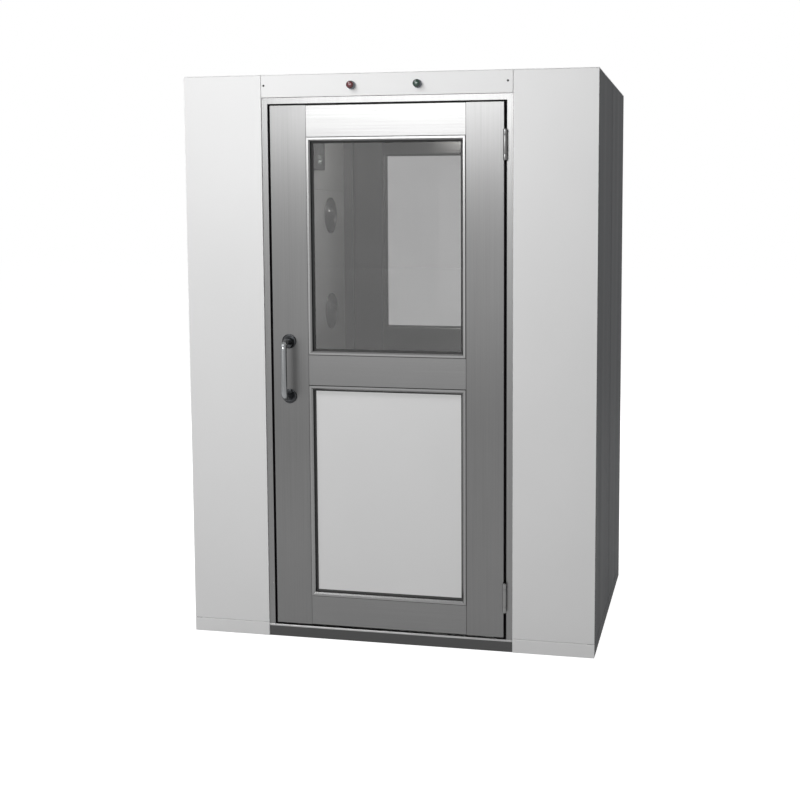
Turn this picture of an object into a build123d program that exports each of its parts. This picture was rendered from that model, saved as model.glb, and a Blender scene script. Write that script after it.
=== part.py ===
from build123d import *
import os

# Walk-through air shower for one person, in millimetres.
# The origin is on the ground at the middle of the plan, +Z is up and -Y looks at the front door.
# The rear is the front turned half round, so the rear door hinges at the other side.

# Overall size
WIDTH = 1500.0
DEPTH = 1000.0
HEIGHT = 2050.0
BAY_WIDTH = 912.0
PLINTH_HEIGHT = 50.0
FLOOR_HEIGHT = 45.0
HEADER_HEIGHT = 80.0
CEILING_DROP = 10.0

# Folded sheet panels
SHEET = 1.5
FLANGE = 25.0
FOLD_RADIUS = 2.0
SEAM = 0.8
CONTACT = 0.3
ROOF_RIM_GAP = 5.0

# Door frame and sill
FRAME_FACE = 21.0
FRAME_SETBACK = 4.0
FRAME_DEPTH = 60.0
STOP_LAP = 10.0
SEAL_THICKNESS = 4.4
MITRE_GAP = 0.3
SILL_WALL = 3.0
SILL_NOSING = 7.0
SILL_PROUD = 3.5
SILL_UNDERCUT = 1.0
SILL_BEVEL = 2.0

# Door leaf
LEAF_THICKNESS = 40.0
LEAF_SIDE_GAP = 10.0
LEAF_TOP_GAP = 7.0
LEAF_BOTTOM_GAP = 9.0
STILE_WIDTH = 135.0
TOP_RAIL = 112.0
MID_RAIL = 111.0
MID_RAIL_TOP = 1052.0
BOTTOM_RAIL = 108.0
LEAF_EDGE_BEVEL = 1.2
JOINT_GAP = 0.3
GLASS_THICKNESS = 6.0
GLASS_EDGE_GAP = 3.0
BEAD_WIDTH = 14.0
BEAD_PROUD = 4.0
BEAD_GROOVE = 0.8
BEAD_BEVEL = 5.0
BEAD_EDGE = 1.0
GASKET_SIGHT = 7.0
GASKET_THICKNESS = 3.0
GASKET_LIP = 1.0

# Pull handles
HANDLE_CENTRES = 200.0
HANDLE_HEIGHT = 1000.0
HANDLE_FROM_EDGE = 62.0
HANDLE_BAR_RADIUS = 11.0
HANDLE_STANDOFF = 60.0
HANDLE_BEND = 26.0
ROSE_RADIUS = 26.0
ROSE_THICKNESS = 7.0
ROSE_BEVEL = 2.0

# Door hinges
HINGE_LENGTH = 106.0
HINGE_KNUCKLE = 21.0
HINGE_RADIUS = 7.0
HINGE_PROUD = 8.0
HINGE_PLATE = 2.5
HINGE_PLATE_DEPTH = 34.0
HINGE_FROM_END = 146.0
PIN_RADIUS = 3.0
PIN_CLEARANCE = 0.08
KNUCKLE_GAP = 0.4

# Air nozzles
NOZZLE_FROM_SEAM = 103.0
NOZZLE_PITCH = 401.5
NOZZLE_SPACING = 512.0
NOZZLE_EDGE = 25.0
NOZZLE_FLANGE_RADIUS = 75.0
NOZZLE_FLANGE_THICKNESS = 4.0
NOZZLE_DOME_RADIUS = 48.0
NOZZLE_MOUTH_RADIUS = 26.0
NOZZLE_BORE_RADIUS = 15.0
NOZZLE_PROUD = 20.0
NOZZLE_SLEEVE_DEPTH = 40.0

# Inner walls and return air grilles
NOZZLE_PANEL_BOTTOM = 560.0
UPPER_WALL_HEIGHT = 304.0
GRILLE_WIDTH = 560.0
GRILLE_HEIGHT = 260.0
GRILLE_BOTTOM = 130.0
GRILLE_BORDER = 20.0
GRILLE_PROUD = 3.0
GRILLE_SLEEVE = 2.0
GRILLE_DEPTH = 22.0
BLADE_PITCH = 22.0
BLADE_THICKNESS = 2.0
BLADE_DEPTH = 20.0
BLADE_TILT = 35.0
FILTER_THICKNESS = 20.0

# Ceiling light
LIGHT_WIDTH = 200.0
LIGHT_LENGTH = 600.0
LIGHT_RIM = 12.0
LIGHT_PROUD = 4.0
LIGHT_BODY = 14.0

# Pilot lamps in the header
LAMP_SPACING = 240.0
LAMP_FROM_TOP = 42.0
LAMP_BODY_RADIUS = 10.5
LAMP_BODY_DEPTH = 30.0
LAMP_HOLE_CLEARANCE = 0.7
BEZEL_RADIUS = 15.0
BEZEL_PROUD = 8.0
BEZEL_BEVEL = 2.0
LENS_RADIUS = 13.5
LENS_PROUD = 24.0
LENS_DOME = 5.0
LENS_FLAT_RADIUS = 8.5

# Control unit on the left inner wall
CONTROL_WIDTH = 150.0
CONTROL_HEIGHT = 150.0
CONTROL_PROUD = 30.0
CONTROL_FROM_MIDDLE = 33.0
CONTROL_FROM_CEILING = 150.0
CONTROL_BEVEL = 4.0
DISPLAY_SIZE = (60.0, 42.0)
DISPLAY_OFFSET = (23.0, -34.0)
DISPLAY_RECESS = 3.0
DISPLAY_THICKNESS = 2.0

# Making
ROUND_SIDES = 16
CUT_MARGIN = 1.0

# Places worked out from the sizes above
FRONT_FACE = -DEPTH / 2
HALF_WIDTH = WIDTH / 2
HALF_BAY = BAY_WIDTH / 2
PANEL_TOP = HEIGHT - SHEET - CONTACT
HEADER_BOTTOM = HEIGHT - HEADER_HEIGHT
CEILING_HEIGHT = HEADER_BOTTOM - CEILING_DROP
NOZZLE_PANEL_TOP = CEILING_HEIGHT - UPPER_WALL_HEIGHT
LAMP_HEIGHT = HEIGHT - LAMP_FROM_TOP
CONTROL_CENTRE = (CONTROL_FROM_MIDDLE, CEILING_HEIGHT - CONTROL_FROM_CEILING)
DISPLAY_CENTRE = tuple(a + b for a, b in zip(CONTROL_CENTRE, DISPLAY_OFFSET))
FRAME_FRONT = FRONT_FACE + FRAME_SETBACK
FRAME_BACK = FRAME_FRONT + FRAME_DEPTH
FRAME_TOP = HEADER_BOTTOM - SEAM
LEAF_BACK = FRONT_FACE + LEAF_THICKNESS
LEAF_MIDDLE = FRONT_FACE + LEAF_THICKNESS / 2
LEAF_HALF = HALF_BAY - FRAME_FACE - LEAF_SIDE_GAP
LEAF_TOP = FRAME_TOP - FRAME_FACE - LEAF_TOP_GAP
LEAF_BOTTOM = FLOOR_HEIGHT + LEAF_BOTTOM_GAP
OPENING_HALF = LEAF_HALF - STILE_WIDTH
WINDOW = (MID_RAIL_TOP, LEAF_TOP - TOP_RAIL)
LOWER_OPENING = (LEAF_BOTTOM + BOTTOM_RAIL, MID_RAIL_TOP - MID_RAIL)
HANDLE_X = HANDLE_FROM_EDGE - LEAF_HALF
HINGE_X = LEAF_HALF + LEAF_SIDE_GAP / 2
HINGE_Y = FRONT_FACE - HINGE_PROUD
HINGE_HEIGHTS = (LEAF_BOTTOM + HINGE_FROM_END, LEAF_TOP - HINGE_FROM_END)
CABIN_END = FRAME_BACK + CONTACT

# A side of a box: its axis (0, 1 or 2 for x, y or z) and its end (0 low, 1 high)
LEFT, RIGHT = (0, 0), (0, 1)
FRONT, BACK = (1, 0), (1, 1)
BOTTOM, TOP = (2, 0), (2, 1)
HALF_TURN = Rot(0, 0, 180)


def block(low, high):
    """A box between two opposite corners."""
    size = [b - a for a, b in zip(low, high)]
    centre = [(a + b) / 2 for a, b in zip(low, high)]
    return Pos(*centre) * Box(*size)


def tray(low, high, skin, bare=()):
    """A folded sheet panel with its skin on one side and a flange back from each edge that isn't bare."""
    corners = (low, high)
    behind = (skin[0], 1 - skin[1])
    hollow = [list(low), list(high)]
    for axis in range(3):
        for end in (0, 1):
            inward = 1 - 2 * end
            is_open = (axis, end) == behind or (axis, end) in bare
            hollow[end][axis] += -inward * CUT_MARGIN if is_open else inward * SHEET

    def lies_on(edge, side):
        axis, end = side
        return abs(tuple(edge.center())[axis] - corners[end][axis]) < 1e-3

    outer = block(low, high)
    folds = [e for e in outer.edges() if lies_on(e, skin) and not any(lies_on(e, s) for s in bare)]
    return fillet(folds, FOLD_RADIUS) - block(*hollow)


def prism(profile, length, mitre_low=True, mitre_high=True):
    """A bar along X with mitred ends. Its profile has points (distance inward from the outer edge, y)."""
    outline = Plane.YZ * Polyline(*[(y, inward) for inward, y in profile], close=True)
    bar = extrude(make_face(outline), length / 2, both=True)
    reach = max(inward for inward, y in profile) + CUT_MARGIN
    half = length / 2 - MITRE_GAP / 2
    low_cut = half - reach if mitre_low else half
    high_cut = half - reach if mitre_high else half
    trapezoid = Plane.XZ * Polyline((-half, 0), (half, 0), (high_cut, reach), (-low_cut, reach), close=True)
    return bar & extrude(make_face(trapezoid), DEPTH, both=True)


def mitred_ring(profile, half_width, bottom, top):
    """Four mitred bars round an upright opening, with the profile reaching inward from its edge."""
    height = top - bottom
    middle = (top + bottom) / 2
    level = prism(profile, 2 * half_width)
    upright = prism(profile, height)
    return [
        Pos(0, 0, bottom) * level,
        Pos(0, 0, top) * Rot(0, 180, 0) * level,
        Pos(-half_width, 0, middle) * Rot(0, 90, 0) * upright,
        Pos(half_width, 0, middle) * Rot(0, -90, 0) * upright,
    ]


def mitred_portal(profile, half_width, bottom, top):
    """Two posts and a head, mitred at the top corners and square at the foot."""
    height = top - bottom
    middle = (top + bottom) / 2
    return [
        Pos(0, 0, top) * Rot(0, 180, 0) * prism(profile, 2 * half_width),
        Pos(-half_width, 0, middle) * Rot(0, 90, 0) * prism(profile, height, mitre_high=False),
        Pos(half_width, 0, middle) * Rot(0, -90, 0) * prism(profile, height, mitre_low=False),
    ]


def ring(radius, x):
    """The flat-sided outline of a round piece, across the X axis."""
    return Plane(origin=(x, 0, 0), x_dir=(0, 1, 0), z_dir=(1, 0, 0)) * RegularPolygon(radius, ROUND_SIDES)


def round_bar(radius, start, end):
    """A flat-sided round bar along the X axis."""
    return extrude(ring(radius, start), end - start)


def bevelled(bar, inset, depth):
    """A round bar whose far rim slopes inward."""
    front = bar.faces().sort_by(Axis.X)[-1]
    return chamfer(front.edges(), inset, depth, reference=front)


def drilled(piece, radius, start, end):
    """A round piece with a hole along its axis."""
    return piece - round_bar(radius, start - CUT_MARGIN, end + CUT_MARGIN)


def both_ends(shapes):
    """The front's pieces and the same pieces turned half round at the rear."""
    return list(shapes) + [HALF_TURN * s for s in shapes]


def both_sides(shapes):
    """The right side's pieces and their mirror images at the left."""
    return list(shapes) + [mirror(s, about=Plane.YZ) for s in shapes]


def end_face(bottom, top):
    """A front face of the right cabinet: a tray whose flanges stop short of the side face's own."""
    low = (HALF_BAY + SEAM, FRONT_FACE, bottom)
    high = (HALF_WIDTH, FRONT_FACE + FLANGE, top)
    corner = (HALF_WIDTH - FLANGE - CONTACT, FRONT_FACE + SHEET, bottom)
    return tray(low, high, FRONT, bare=(RIGHT,)) - block(corner, high)


def side_panels():
    """The right side's two tall panels, which meet halfway along its depth."""
    start = FRONT_FACE + SHEET + CONTACT
    low = (HALF_WIDTH - FLANGE, start, PLINTH_HEIGHT)
    high = (HALF_WIDTH, -SEAM / 2, PANEL_TOP)
    front = tray(low, high, RIGHT)
    return [front, mirror(front, about=Plane.XZ)]


def plinth_side():
    """The plinth's long face under the right side."""
    start = FRONT_FACE + SHEET + CONTACT
    low = (HALF_WIDTH - FLANGE, start, 0)
    high = (HALF_WIDTH, -start, PLINTH_HEIGHT - SEAM)
    return tray(low, high, RIGHT)


def cabinet_floor():
    """The right cabinet's base sheet, resting on the lower flanges of its front and rear panels."""
    rest = PLINTH_HEIGHT + SHEET + CONTACT
    x = (HALF_BAY + FLANGE + CONTACT, HALF_WIDTH - FLANGE - CONTACT)
    y = FRONT_FACE + SHEET + CONTACT
    return block((x[0], y, rest), (x[1], -y, rest + SHEET))


def header_panel():
    """The panel over the door, with holes for its two pilot lamps."""
    half = HALF_BAY
    panel = tray((-half, FRONT_FACE, HEADER_BOTTOM), (half, FRONT_FACE + FLANGE, PANEL_TOP), FRONT)
    hole = round_bar(LAMP_BODY_RADIUS + LAMP_HOLE_CLEARANCE, -SHEET - CUT_MARGIN, CUT_MARGIN)
    for x in (-LAMP_SPACING / 2, LAMP_SPACING / 2):
        panel -= on_header(hole, x)
    return panel


def roof_panel():
    """The lid over the whole plan, with a rim that drops inside the panels."""
    half_depth = DEPTH / 2
    lid = block((-HALF_WIDTH, -half_depth, HEIGHT - SHEET), (HALF_WIDTH, half_depth, HEIGHT))
    inset = FLANGE + ROOF_RIM_GAP
    x, y = HALF_WIDTH - inset, half_depth - inset
    foot = HEIGHT - SHEET - FLANGE
    rim = block((-x, -y, foot), (x, y, HEIGHT - SHEET))
    rim -= block((SHEET - x, SHEET - y, foot), (x - SHEET, y - SHEET, HEIGHT - SHEET))
    return lid + rim


def floor_pan():
    half = HALF_BAY - CONTACT
    return tray((-half, CABIN_END, 0), (half, -CABIN_END, FLOOR_HEIGHT), TOP)


def ceiling_panel():
    """The cabin's ceiling, resting on both inner walls, with a cut-out for the light."""
    half = HALF_BAY + FLANGE
    low = (-half, CABIN_END, CEILING_HEIGHT)
    high = (half, -CABIN_END, CEILING_HEIGHT + FLANGE)
    x, y = LIGHT_WIDTH / 2 + CONTACT, LIGHT_LENGTH / 2 + CONTACT
    cut = block((-x, -y, CEILING_HEIGHT - CUT_MARGIN), (x, y, CEILING_HEIGHT + SHEET + CUT_MARGIN))
    return tray(low, high, BOTTOM) - cut


def ceiling_light():
    """A flush light: a thin rim under the ceiling and its body through the cut-out."""
    x, y = LIGHT_WIDTH / 2, LIGHT_LENGTH / 2
    under = CEILING_HEIGHT - CONTACT
    rim = block((-x - LIGHT_RIM, -y - LIGHT_RIM, under - LIGHT_PROUD), (x + LIGHT_RIM, y + LIGHT_RIM, under))
    rim = fillet(rim.faces().sort_by(Axis.Z)[0].edges(), LIGHT_PROUD / 2)
    return rim + block((-x, -y, under), (x, y, under + LIGHT_BODY))


def left_wall(bottom, top):
    """One tray of the left inner wall, with its skin towards the cabin."""
    low = (-HALF_BAY - FLANGE, CABIN_END, bottom)
    high = (-HALF_BAY, -CABIN_END, top)
    return tray(low, high, RIGHT)


def nozzle_places():
    """Two nozzles a row, and as many rows down from the upper seam as the panel has room for."""
    top = NOZZLE_PANEL_TOP - NOZZLE_FROM_SEAM
    lowest = NOZZLE_PANEL_BOTTOM + NOZZLE_FLANGE_RADIUS + NOZZLE_EDGE
    rows = int((top - lowest) // NOZZLE_PITCH) + 1
    half = NOZZLE_SPACING / 2
    return [(y, top - row * NOZZLE_PITCH) for row in range(rows) for y in (-half, half)]


def nozzle_panel():
    """The middle tray of the left inner wall, with a round hole for each nozzle."""
    panel = left_wall(NOZZLE_PANEL_BOTTOM + SEAM, NOZZLE_PANEL_TOP)
    hole = round_bar(NOZZLE_DOME_RADIUS + CONTACT, -SHEET - CUT_MARGIN, CUT_MARGIN)
    for placed in on_left_wall(hole):
        panel -= placed
    return panel


def plain_left_walls():
    """The left inner wall's upper tray, and its lower tray with the grille's cut-out."""
    upper = left_wall(NOZZLE_PANEL_TOP + SEAM, CEILING_HEIGHT - CONTACT)
    lower = left_wall(FLOOR_HEIGHT + CONTACT, NOZZLE_PANEL_BOTTOM)
    y, bottom, top = grille_cut_out()
    cut = block((-HALF_BAY - SHEET - CUT_MARGIN, -y, bottom), (-HALF_BAY + CUT_MARGIN, y, top))
    return [upper, lower - cut]


def grille_cut_out():
    return GRILLE_WIDTH / 2, GRILLE_BOTTOM, GRILLE_BOTTOM + GRILLE_HEIGHT


def air_nozzle():
    """A nozzle in one piece: a flange on the wall, and a domed jet bored through its middle."""
    face = CONTACT + NOZZLE_FLANGE_THICKNESS
    flange = round_bar(NOZZLE_FLANGE_RADIUS, CONTACT, face)
    sleeve = round_bar(NOZZLE_DOME_RADIUS, -NOZZLE_SLEEVE_DEPTH, NOZZLE_PROUD)
    jet = bevelled(sleeve, NOZZLE_DOME_RADIUS - NOZZLE_MOUTH_RADIUS, NOZZLE_PROUD - face)
    return drilled(flange + jet, NOZZLE_BORE_RADIUS, -NOZZLE_SLEEVE_DEPTH, NOZZLE_PROUD)


def on_left_wall(piece):
    return [Pos(-HALF_BAY, y, z) * piece for y, z in nozzle_places()]


def return_grille():
    """A louvred grille in the left wall: a flange, a sleeve and tilted blades between its sides."""
    half, bottom, top = grille_cut_out()
    border = GRILLE_BORDER
    face, back = -HALF_BAY + CONTACT, -HALF_BAY - GRILLE_DEPTH
    wall = GRILLE_SLEEVE
    sleeve = half - CONTACT
    low, high = bottom + CONTACT, top - CONTACT
    front = face + GRILLE_PROUD + CUT_MARGIN
    clear = ((back - CUT_MARGIN, wall - sleeve, low + wall), (front, sleeve - wall, high - wall))
    flange = block((face, -half - border, bottom - border), (face + GRILLE_PROUD, half + border, top + border))
    flange = fillet(flange.faces().sort_by(Axis.X)[-1].edges(), GRILLE_PROUD / 2)
    grille = flange + block((back, -sleeve, low), (face, sleeve, high)) - block(*clear)
    blade = Rot(0, BLADE_TILT, 0) * Box(BLADE_DEPTH, 2 * sleeve - wall, BLADE_THICKNESS)
    count = int((high - low) // BLADE_PITCH) - 1
    first = (high + low) / 2 - (count - 1) / 2 * BLADE_PITCH
    middle = (face + back) / 2
    for i in range(count):
        grille += Pos(middle, 0, first + i * BLADE_PITCH) * blade
    return grille


def prefilter():
    """The flat filter pad behind the left grille."""
    half, bottom, top = grille_cut_out()
    near = -HALF_BAY - GRILLE_DEPTH - CONTACT
    return block((near - FILTER_THICKNESS, -half, bottom), (near, half, top))


def door_frame():
    """Mitred jambs and head, each with a stop behind the door leaf."""
    rebate = LEAF_BACK + SEAL_THICKNESS + CONTACT
    lap = FRAME_FACE + LEAF_SIDE_GAP + STOP_LAP
    profile = [
        (0, FRAME_FRONT),
        (FRAME_FACE, FRAME_FRONT),
        (FRAME_FACE, rebate),
        (lap, rebate),
        (lap, FRAME_BACK),
        (0, FRAME_BACK),
    ]
    return mitred_portal(profile, HALF_BAY, FLOOR_HEIGHT, FRAME_TOP)


def door_seal():
    """Black rubber strips on the stops, which the leaf closes on."""
    lap = FRAME_FACE + LEAF_SIDE_GAP + STOP_LAP
    back = LEAF_BACK + SEAL_THICKNESS + CONTACT
    profile = [
        (FRAME_FACE, back - SEAL_THICKNESS),
        (lap, back - SEAL_THICKNESS),
        (lap, back),
        (FRAME_FACE, back),
    ]
    return mitred_portal(profile, HALF_BAY, FLOOR_HEIGHT, FRAME_TOP)


def door_sill():
    """A folded threshold with a nosing along its front edge, open below."""
    nose = FRAME_FRONT - SILL_PROUD
    under = FLOOR_HEIGHT - SILL_NOSING
    wall = SILL_WALL
    outline = [
        (FRAME_FRONT, 0),
        (FRAME_FRONT, under),
        (nose, under + SILL_UNDERCUT),
        (nose, FLOOR_HEIGHT - SILL_BEVEL),
        (nose + SILL_BEVEL, FLOOR_HEIGHT),
        (FRAME_BACK, FLOOR_HEIGHT),
        (FRAME_BACK, 0),
        (FRAME_BACK - wall, 0),
        (FRAME_BACK - wall, FLOOR_HEIGHT - wall),
        (FRAME_FRONT + wall, FLOOR_HEIGHT - wall),
        (FRAME_FRONT + wall, 0),
    ]
    face = make_face(Plane.YZ * Polyline(*outline, close=True))
    return extrude(face, HALF_BAY, both=True)


def stile():
    """The leaf's right stile, its full height, with softened long edges."""
    low = (OPENING_HALF, FRONT_FACE, LEAF_BOTTOM)
    high = (LEAF_HALF, LEAF_BACK, LEAF_TOP)
    piece = block(low, high)
    return chamfer(piece.edges().filter_by(Axis.Z), LEAF_EDGE_BEVEL)


def rails():
    """Top, middle and bottom rails between the stiles."""
    half = OPENING_HALF - JOINT_GAP
    spans = [(WINDOW[1], LEAF_TOP), (LOWER_OPENING[1], WINDOW[0]), (LEAF_BOTTOM, LOWER_OPENING[0])]
    pieces = [block((-half, FRONT_FACE, low), (half, LEAF_BACK, high)) for low, high in spans]
    return [chamfer(p.edges().filter_by(Axis.X), LEAF_EDGE_BEVEL) for p in pieces]


def both_faces(ring):
    """A ring on the leaf's outer face and its mirror image on the inner face."""
    middle = Plane.XZ.offset(-LEAF_MIDDLE)
    return ring + [mirror(bar, about=middle) for bar in ring]


def glazing_beads():
    """Mitred beads round the window and the lower panel, on both faces of the leaf."""
    front = FRONT_FACE - BEAD_PROUD
    seat = LEAF_MIDDLE - GLASS_THICKNESS / 2 - GASKET_THICKNESS
    profile = [
        (BEAD_GROOVE, seat),
        (BEAD_GROOVE, front + BEAD_EDGE),
        (BEAD_GROOVE + BEAD_EDGE, front),
        (BEAD_WIDTH - BEAD_BEVEL, front),
        (BEAD_WIDTH, front + BEAD_BEVEL),
        (BEAD_WIDTH, seat),
    ]
    upper = mitred_ring(profile, OPENING_HALF, *WINDOW)
    lower = mitred_ring(profile, OPENING_HALF, *LOWER_OPENING)
    return both_faces(upper + lower)


def glazing_gaskets():
    """Rubber between the beads and the glass, with a wedge-shaped lip that shows."""
    glass = LEAF_MIDDLE - GLASS_THICKNESS / 2
    seat = glass - GASKET_THICKNESS
    profile = [
        (GLASS_EDGE_GAP, glass),
        (GLASS_EDGE_GAP, seat),
        (BEAD_WIDTH, seat),
        (BEAD_WIDTH + GASKET_SIGHT, glass - GASKET_LIP),
        (BEAD_WIDTH + GASKET_SIGHT, glass),
    ]
    upper = mitred_ring(profile, OPENING_HALF, *WINDOW)
    lower = mitred_ring(profile, OPENING_HALF, *LOWER_OPENING)
    return both_faces(upper + lower)


def pane(span):
    """A sheet between the gaskets of one opening."""
    half = OPENING_HALF - GLASS_EDGE_GAP
    near, far = LEAF_MIDDLE - GLASS_THICKNESS / 2, LEAF_MIDDLE + GLASS_THICKNESS / 2
    return block((-half, near, span[0] + GLASS_EDGE_GAP), (half, far, span[1] - GLASS_EDGE_GAP))


def pull_handle():
    """A bent round bar on two roses, standing off the leaf's outer face."""
    top, bottom = HANDLE_HEIGHT + HANDLE_CENTRES / 2, HANDLE_HEIGHT - HANDLE_CENTRES / 2
    out = FRONT_FACE - HANDLE_STANDOFF
    corners = [(HANDLE_X, y, z) for y, z in ((FRONT_FACE, top), (out, top), (out, bottom), (FRONT_FACE, bottom))]
    path = FilletPolyline(*corners, radius=HANDLE_BEND)
    section = RegularPolygon(HANDLE_BAR_RADIUS, ROUND_SIDES)
    bar = sweep(Plane(origin=path @ 0, z_dir=path % 0) * section, path)
    rose = bevelled(round_bar(ROSE_RADIUS, 0, ROSE_THICKNESS), ROSE_BEVEL, ROSE_BEVEL)
    for z in (top, bottom):
        bar += Pos(HANDLE_X, FRONT_FACE, z) * Rot(0, 0, -90) * rose
    return bar


def barrel(low, high, radius=HINGE_RADIUS):
    """A round stretch between two heights on the hinge axis."""
    return Pos(HINGE_X, HINGE_Y, 0) * Rot(0, -90, 0) * round_bar(radius, low, high)


def hinge_plate(x, low, high):
    """A hinge leaf in the gap beside the door, from the barrel back along the leaf's edge."""
    return block((x, HINGE_Y, low), (x + HINGE_PLATE, HINGE_Y + HINGE_PROUD + HINGE_PLATE_DEPTH, high))


def door_hinge(z):
    """The door's half of a hinge: the middle knuckle and its plate on the leaf's edge."""
    half = HINGE_LENGTH / 2 - HINGE_KNUCKLE - KNUCKLE_GAP
    plate = hinge_plate(LEAF_HALF, z - half, z + half)
    bore = barrel(z - half - CUT_MARGIN, z + half + CUT_MARGIN, PIN_RADIUS + PIN_CLEARANCE)
    return barrel(z - half, z + half) + plate - bore


def frame_hinge(z):
    """The frame's half of a hinge: the outer knuckles, their plate and the pin."""
    half = HINGE_LENGTH / 2
    inner = half - HINGE_KNUCKLE
    x = HALF_BAY - FRAME_FACE - HINGE_PLATE
    hinge = barrel(z - half, z + half, PIN_RADIUS)
    for low, high in ((z - half, z - inner), (z + inner, z + half)):
        hinge += barrel(low, high) + hinge_plate(x, low, high)
    web = block((x, FRAME_FRONT, z - half), (x + HINGE_PLATE, FRONT_FACE + HINGE_PLATE_DEPTH, z + half))
    return hinge + web


def on_header(piece, x):
    """A piece made along the X axis, turned to stand out from the header at a lamp's place."""
    return Pos(x, FRONT_FACE, LAMP_HEIGHT) * Rot(0, 0, -90) * piece


def lamp_bezel(x):
    body = bevelled(round_bar(BEZEL_RADIUS, CONTACT, BEZEL_PROUD), BEZEL_BEVEL, BEZEL_BEVEL)
    return on_header(drilled(body, LAMP_BODY_RADIUS + CONTACT, CONTACT, BEZEL_PROUD), x)


def lamp_lens(x):
    """A domed lens in front of its bezel, on a body that passes through the header's hole."""
    seat = BEZEL_PROUD + CONTACT
    body = round_bar(LAMP_BODY_RADIUS, -LAMP_BODY_DEPTH, seat)
    head = round_bar(LENS_RADIUS, seat, LENS_PROUD)
    return on_header(body + bevelled(head, LENS_RADIUS - LENS_FLAT_RADIUS, LENS_DOME), x)


def control_unit():
    """A shallow housing on the left wall, with a recess for its display."""
    (y, z), half, tall = CONTROL_CENTRE, CONTROL_WIDTH / 2, CONTROL_HEIGHT / 2
    back, front = -HALF_BAY + CONTACT, -HALF_BAY + CONTROL_PROUD
    body = block((back, y - half, z - tall), (front, y + half, z + tall))
    body = chamfer(body.faces().sort_by(Axis.X)[-1].edges(), CONTROL_BEVEL)
    return body - display_block(front - DISPLAY_RECESS, front + CUT_MARGIN, CONTACT)


def display_block(back, front, margin):
    (y, z), (width, height) = DISPLAY_CENTRE, DISPLAY_SIZE
    half, tall = width / 2 + margin, height / 2 + margin
    return block((back, y - half, z - tall), (front, y + half, z + tall))


def control_display():
    back = -HALF_BAY + CONTROL_PROUD - DISPLAY_RECESS
    return display_block(back, back + DISPLAY_THICKNESS, 0)


def door_nodes(turn, name):
    """Every node of one door leaf, turned to its end of the cabin."""
    right = stile()
    sets = {
        "hinge_stile": [right],
        "lock_stile": [mirror(right, about=Plane.YZ)],
        "rails": rails(),
        "glazing_beads": glazing_beads(),
        "glazing_gaskets": glazing_gaskets(),
        "window_glass": [pane(WINDOW)],
        "lower_panel": [pane(LOWER_OPENING)],
        "fittings": both_faces([pull_handle()]) + [door_hinge(z) for z in HINGE_HEIGHTS],
    }
    return {f"{name}_{node}": [turn * s for s in shapes] for node, shapes in sets.items()}


def cabin_nodes():
    """Every node that stands still."""
    end_panels = both_sides([end_face(PLINTH_HEIGHT, PANEL_TOP)])
    plinths = both_sides([end_face(0, PLINTH_HEIGHT - SEAM)])
    right_side = side_panels()
    nozzles, walls = nozzle_panel(), plain_left_walls()
    hinges = [frame_hinge(z) for z in HINGE_HEIGHTS]
    frame = door_frame()
    red, green = -LAMP_SPACING / 2, LAMP_SPACING / 2
    return {
        "front_cabinet_panels": end_panels,
        "rear_cabinet_panels": [HALF_TURN * s for s in end_panels],
        "right_side_panels": right_side,
        "left_side_panels": [HALF_TURN * s for s in right_side],
        "plinth_end_faces": both_ends(plinths),
        "plinth_side_faces": both_ends([plinth_side()]),
        "cabinet_floors": both_ends([cabinet_floor()]),
        "header_panels": both_ends([header_panel()]),
        "roof_panel": [roof_panel()],
        "floor_pan": [floor_pan()],
        "ceiling_panel": [ceiling_panel()],
        "ceiling_light": [ceiling_light()],
        "left_nozzle_panel": [nozzles],
        "right_nozzle_panel": [HALF_TURN * nozzles],
        "left_plain_walls": walls,
        "right_plain_walls": [HALF_TURN * s for s in walls],
        "air_nozzles": both_ends(on_left_wall(air_nozzle())),
        "return_grilles": both_ends([return_grille()]),
        "prefilters": both_ends([prefilter()]),
        "front_door_frame": frame,
        "rear_door_frame": [HALF_TURN * s for s in frame],
        "door_seals": both_ends(door_seal()),
        "door_sills": both_ends([door_sill()]),
        "frame_hinges": both_ends(hinges),
        "lamp_bezels": both_ends([lamp_bezel(red), lamp_bezel(green)]),
        "red_lamps": both_ends([lamp_lens(red)]),
        "green_lamps": both_ends([lamp_lens(green)]),
        "control_unit": [control_unit()],
        "control_display": [control_display()],
    }


def solids_of(shapes):
    return [solid for shape in shapes for solid in shape.solids()]


os.makedirs("parts", exist_ok=True)
nodes = {**cabin_nodes(), **door_nodes(Pos(), "front_door"), **door_nodes(HALF_TURN, "rear_door")}
for name, shapes in nodes.items():
    export_step(Compound(children=solids_of(shapes)), f"parts/{name}.step")
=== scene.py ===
import math

import bmesh
import bpy
from mathutils import Matrix, Vector


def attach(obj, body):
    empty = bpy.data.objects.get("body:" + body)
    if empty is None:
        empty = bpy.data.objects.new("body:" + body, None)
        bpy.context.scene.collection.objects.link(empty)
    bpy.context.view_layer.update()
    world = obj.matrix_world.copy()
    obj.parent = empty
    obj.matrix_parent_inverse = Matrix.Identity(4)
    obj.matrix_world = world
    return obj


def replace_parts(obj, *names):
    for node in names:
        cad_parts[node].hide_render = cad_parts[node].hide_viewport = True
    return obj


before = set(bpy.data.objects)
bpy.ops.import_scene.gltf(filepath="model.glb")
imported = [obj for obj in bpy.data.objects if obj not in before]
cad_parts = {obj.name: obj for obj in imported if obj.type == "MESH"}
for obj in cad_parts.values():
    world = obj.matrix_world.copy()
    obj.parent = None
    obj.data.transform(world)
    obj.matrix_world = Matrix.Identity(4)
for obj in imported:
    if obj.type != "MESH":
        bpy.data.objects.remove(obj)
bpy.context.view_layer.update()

# Lengths below are in millimetres unless a comment says metres
MM = 0.001

# The range that a noise texture fills, for Map Range nodes
NOISE_SPAN = {"From Min": 0.3, "From Max": 0.7}

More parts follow.
